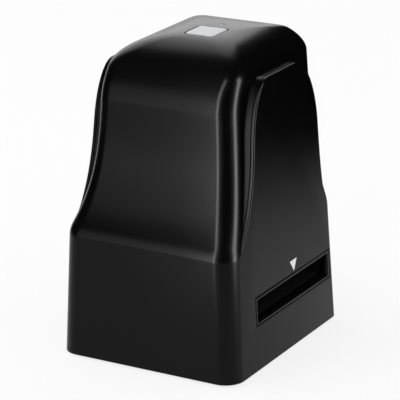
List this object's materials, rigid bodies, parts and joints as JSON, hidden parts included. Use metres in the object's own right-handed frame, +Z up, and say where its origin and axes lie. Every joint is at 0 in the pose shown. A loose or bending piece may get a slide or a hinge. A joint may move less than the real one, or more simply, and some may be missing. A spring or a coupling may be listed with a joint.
{
  "type": "film negative scanner",
  "caption": "Desktop film scanner: tapered tower on a drafted base, bell-shaped side covers, film slot through the base from side to side, lamp, lens, sensor and a square scan button on top.",
  "frame": {"origin": "centre of the footprint, on the surface that the rubber feet stand on", "axes": "+Z up, -Y the plain sloping front, +Y the rear wall with the power and data inlet, +X the right side as seen from the front"},
  "size_m": [0.09, 0.098, 0.1404],
  "materials": {
    "housing_black": "fine satin moulded surface",
    "cover_black": "satin gloss moulded surface",
    "bezel_black": "satin",
    "base_black": "fine texture",
    "foot_rubber": "matt",
    "screw_steel": "zinc plated",
    "gate_black": "matt",
    "ball_steel": "polished",
    "spring_steel": "drawn wire",
    "lamp_white": "matt white reflector",
    "lamp_board_white": "white solder mask",
    "diode_yellow": "phosphor under clear resin",
    "socket_white": "plain",
    "diffuser_white": "opal",
    "chassis_black": "matt",
    "barrel_black": "matt",
    "lens_glass": "coated",
    "ring_black": "matt",
    "filter_glass": "coated",
    "sensor_grey": "glass lidded package",
    "board_green": "solder mask",
    "chip_black": "moulded package",
    "can_nickel": "nickel plated",
    "inlet_nickel": "nickel plated",
    "tongue_black": "plain",
    "cable_white": "film",
    "button_silver": "satin silver",
    "switch_black": "plain",
    "plunger_black": "plain",
    "diode_clear": "clear resin",
    "pipe_clear": "clear acrylic"
  },
  "bodies": {
    "unit": {"main_housing": "housing_black", "side_cover_right": "cover_black", "side_cover_left": "cover_black", "slot_bezel_right": "bezel_black", "slot_bezel_left": "bezel_black", "base_plate": "base_black", "foot_front_right": "foot_rubber", "foot_front_left": "foot_rubber", "foot_rear_right": "foot_rubber", "foot_rear_left": "foot_rubber", "base_screws": "screw_steel", "gate_screws": "screw_steel", "film_gate_lower": "gate_black", "film_gate_upper": "gate_black", "lid_screws": "screw_steel", "click_spring": "spring_steel", "lamp_box": "lamp_white", "lamp_board": "lamp_board_white", "lamp_diodes": "diode_yellow", "lamp_socket": "socket_white", "diffuser_plate": "diffuser_white", "optical_chassis": "chassis_black", "chassis_screws": "screw_steel", "lens_barrel": "barrel_black", "lens_front_element": "lens_glass", "lens_rear_element": "lens_glass", "lens_retaining_ring": "ring_black", "infrared_filter": "filter_glass", "image_sensor": "sensor_grey", "sensor_board": "board_green", "sensor_screws": "screw_steel", "main_board": "board_green", "main_processor": "chip_black", "memory_chip": "chip_black", "crystal_can": "can_nickel", "inlet_shell": "inlet_nickel", "inlet_tongue": "tongue_black", "sensor_cable": "cable_white", "cable_sockets": "socket_white", "switch_body": "switch_black", "button_board": "board_green", "button_board_screws": "screw_steel", "status_light": "diode_clear", "light_pipe": "pipe_clear"},
    "button": {"scan_button": "button_silver"},
    "plunger": {"switch_plunger": "plunger_black"},
    "ball": {"click_ball": "ball_steel"}
  },
  "joints": [
    {"name": "button_press", "type": "slide", "parent": "unit", "child": "button", "axis": [0, 0, -1], "range_m": [0, 0.00035], "stiffness_N_per_m": 4000, "springref_m": -0.0001},
    {"name": "plunger_press", "type": "slide", "parent": "unit", "child": "plunger", "axis": [0, 0, -1], "range_m": [0, 0.00035]},
    {"name": "ball_press", "type": "slide", "parent": "unit", "child": "ball", "axis": [0, 0, -1], "range_m": [0, 0.0007], "stiffness_N_per_m": 400, "springref_m": -0.0005, "deforming": ["click_spring"]}
  ],
  "couplings": [
    {"joint": "plunger_press", "follows": "button_press", "ratio": 1}
  ]
}
